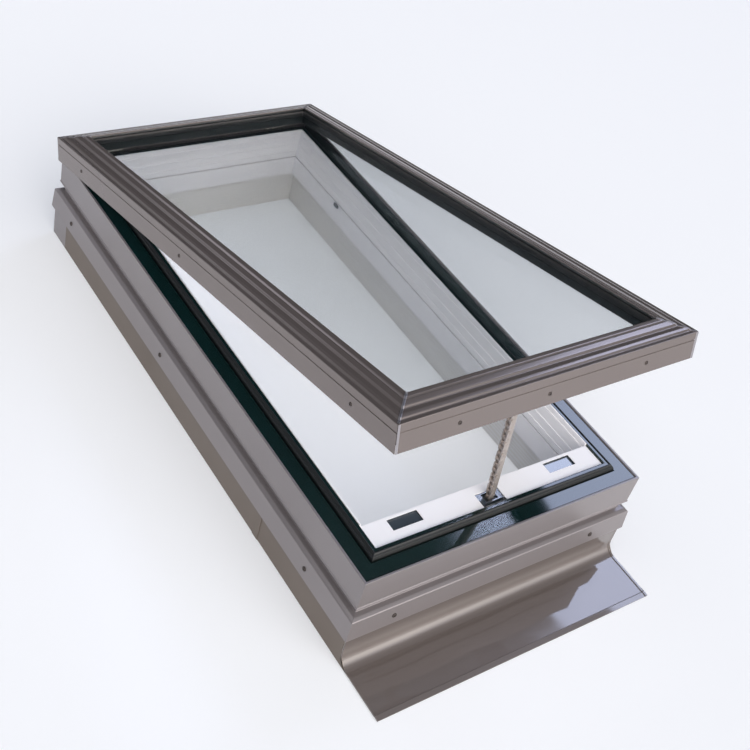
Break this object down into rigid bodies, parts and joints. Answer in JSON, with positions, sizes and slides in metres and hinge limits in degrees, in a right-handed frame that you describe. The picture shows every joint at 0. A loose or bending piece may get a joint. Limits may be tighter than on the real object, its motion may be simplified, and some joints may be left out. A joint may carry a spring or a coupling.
{
  "type": "roof skylight",
  "caption": "Venting curb-mounted roof skylight: glazed top-hinged sash pushed open by a chain operator, on a clad frame with flashing.",
  "frame": {"origin": "centre of the curb's hold-down hole pattern, on the roof plane under the curb", "axes": "+Z out of the roof, +Y up the slope towards the hinges, +X across"},
  "size_m": [0.625, 1.3278, 0.5221],
  "materials": {
    "coated_aluminium": "satin coating, warm grey",
    "flashing_sheet": "satin rolled sheet",
    "flashing_coated": "satin coating, tan",
    "sash_aluminium": "semi-gloss coating, bronze grey",
    "sash_profile": "extruded, dark green black",
    "gutter_plastic": "extruded, dark green",
    "liner_white": "satin white",
    "rubber": "extruded",
    "curb_timber": "planed softwood, primed white",
    "glass": "clear float, green edge",
    "spacer_black": "matte",
    "bright_steel": "zinc plated",
    "chain_steel": "plated links",
    "screw_steel": "dark coated",
    "corner_key_metal": "mill finish",
    "operator_case": "moulded",
    "dark_plastic": "moulded"
  },
  "bodies": {
    "frame": {"frame_profile_front": "coated_aluminium", "frame_profile_back": "coated_aluminium", "frame_profile_left": "coated_aluminium", "frame_profile_right": "coated_aluminium", "head_flashing": "coated_aluminium", "apron_flashing": "flashing_sheet", "side_flashing_left_lower": "flashing_coated", "side_flashing_left_upper": "flashing_coated", "side_flashing_right_lower": "flashing_coated", "side_flashing_right_upper": "flashing_coated", "frame_core_front": "gutter_plastic", "frame_core_back": "gutter_plastic", "frame_core_left": "gutter_plastic", "frame_core_right": "gutter_plastic", "liner_front": "liner_white", "liner_back": "liner_white", "liner_left": "liner_white", "liner_right": "liner_white", "operator_cover": "liner_white", "frame_seal_front": "rubber", "frame_seal_back": "rubber", "frame_seal_left": "rubber", "frame_seal_right": "rubber", "curb_front": "curb_timber", "curb_back": "curb_timber", "curb_left": "curb_timber", "curb_right": "curb_timber", "hinge_pins": "bright_steel", "hinge_base_left": "bright_steel", "hinge_base_right": "bright_steel", "push_chain": "chain_steel", "flange_screws": "screw_steel", "operator_housing": "operator_case", "chain_guide": "dark_plastic", "cover_pocket_left": "dark_plastic", "cover_pocket_right": "dark_plastic", "screen_clip": "dark_plastic"},
    "sash": {"sash_cladding_front": "sash_aluminium", "sash_cladding_back": "sash_aluminium", "sash_cladding_left": "sash_aluminium", "sash_cladding_right": "sash_aluminium", "sash_frame_front": "sash_profile", "sash_frame_back": "sash_profile", "sash_frame_left": "sash_profile", "sash_frame_right": "sash_profile", "hinge_leaf_left": "bright_steel", "hinge_leaf_right": "bright_steel", "sash_screws": "screw_steel", "outer_pane": "glass", "inner_pane": "glass", "glass_spacer": "spacer_black", "glazing_gasket": "rubber", "corner_keys": "corner_key_metal", "chain_bracket": "bright_steel", "chain_pin": "bright_steel"},
    "chain_end": {"chain_end": "bright_steel"}
  },
  "joints": [
    {"name": "sash_hinge", "type": "hinge", "parent": "frame", "child": "sash", "pos_m": [0, 0.575, 0.199], "axis": [-1, 0, 0], "range_deg": [-13.8, 0], "deforming": ["push_chain"]},
    {"name": "chain_pivot", "type": "hinge", "parent": "sash", "child": "chain_end", "pos_m": [0, -0.48926, 0.46504], "axis": [-1, 0, 0], "range_deg": [0, 7]}
  ],
  "couplings": [
    {"joint": "chain_pivot", "follows": "sash_hinge", "ratio": -0.5}
  ]
}
